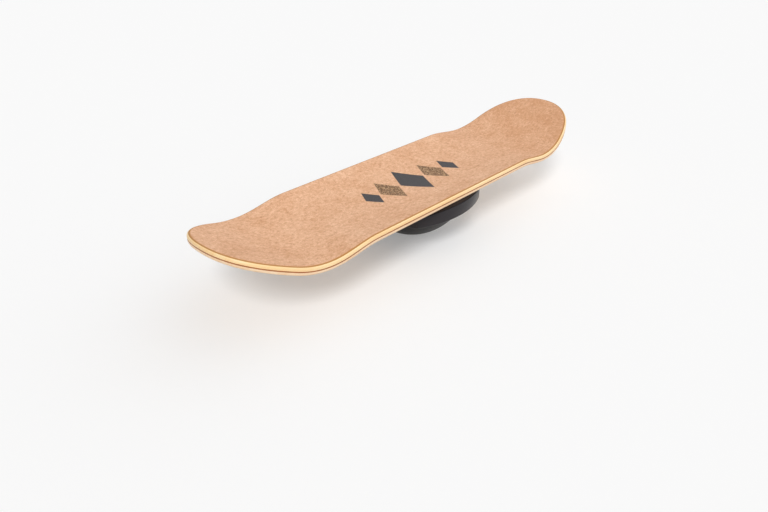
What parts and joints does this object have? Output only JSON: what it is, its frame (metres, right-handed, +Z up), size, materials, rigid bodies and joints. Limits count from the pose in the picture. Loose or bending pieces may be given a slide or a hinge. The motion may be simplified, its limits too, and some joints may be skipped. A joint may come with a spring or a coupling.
{
  "type": "spinning balance board",
  "caption": "Cork-topped maple deck with upturned ends on a black rocker dome that swivels on a ball bearing in a moulded collar, with a rubber bumper under each end.",
  "frame": {"origin": "on the floor under the middle of the dome, on the swivel's axis", "axes": "+X along the deck towards its nose, +Y across the deck, +Z up"},
  "size_m": [0.8, 0.206, 0.1378],
  "materials": {
    "cork": "fine cork granules bonded into a thin sheet, matt",
    "maple": "sealed pale maple",
    "stained_maple": "stained maple, sealed",
    "rubber": "matt black",
    "pad": "matt dark foam rubber",
    "collar": "moulded black plastic, fine texture",
    "dome": "moulded black plastic, satin",
    "nylon": "natural nylon",
    "steel": "ground bright",
    "black_steel": "black oxide",
    "brass": "turned"
  },
  "bodies": {
    "deck": {"cork_top_sheet": "cork", "upper_veneers": "maple", "stained_veneer": "stained_maple", "bottom_veneers": "maple", "saddle_pad": "pad", "swivel_collar": "collar", "upper_race": "steel", "pivot_bush": "brass", "thrust_washer": "steel", "collar_screw_1": "black_steel", "collar_screw_2": "black_steel", "collar_screw_3": "black_steel", "collar_screw_4": "black_steel", "collar_insert_1": "brass", "collar_insert_2": "brass", "collar_insert_3": "brass", "collar_insert_4": "brass", "nose_bumper": "rubber", "nose_bumper_washer": "steel", "nose_bumper_screw": "black_steel", "nose_bumper_insert": "brass", "tail_bumper": "rubber", "tail_bumper_washer": "steel", "tail_bumper_screw": "black_steel", "tail_bumper_insert": "brass"},
    "dome": {"dome_shell": "dome", "bearing_carrier": "nylon", "lower_race": "steel", "hub_insert": "brass", "kingpin_bolt": "black_steel", "carrier_screw_1": "black_steel", "carrier_screw_2": "black_steel", "carrier_screw_3": "black_steel", "carrier_screw_4": "black_steel", "carrier_screw_5": "black_steel", "carrier_screw_6": "black_steel"},
    "cage": {"ball_cage": "nylon", "bearing_ball_01": "steel", "bearing_ball_02": "steel", "bearing_ball_03": "steel", "bearing_ball_04": "steel", "bearing_ball_05": "steel", "bearing_ball_06": "steel", "bearing_ball_07": "steel", "bearing_ball_08": "steel", "bearing_ball_09": "steel", "bearing_ball_10": "steel", "bearing_ball_11": "steel", "bearing_ball_12": "steel", "bearing_ball_13": "steel", "bearing_ball_14": "steel", "bearing_ball_15": "steel", "bearing_ball_16": "steel"}
  },
  "joints": [
    {"name": "dome_swivel", "type": "hinge", "parent": "deck", "child": "dome", "pos_m": [0, 0, 0], "axis": [0, 0, 1], "continuous": true},
    {"name": "cage_turn", "type": "hinge", "parent": "deck", "child": "cage", "pos_m": [0, 0, 0.0588], "axis": [0, 0, 1], "continuous": true}
  ],
  "couplings": [
    {"joint": "cage_turn", "follows": "dome_swivel", "ratio": 0.5}
  ]
}
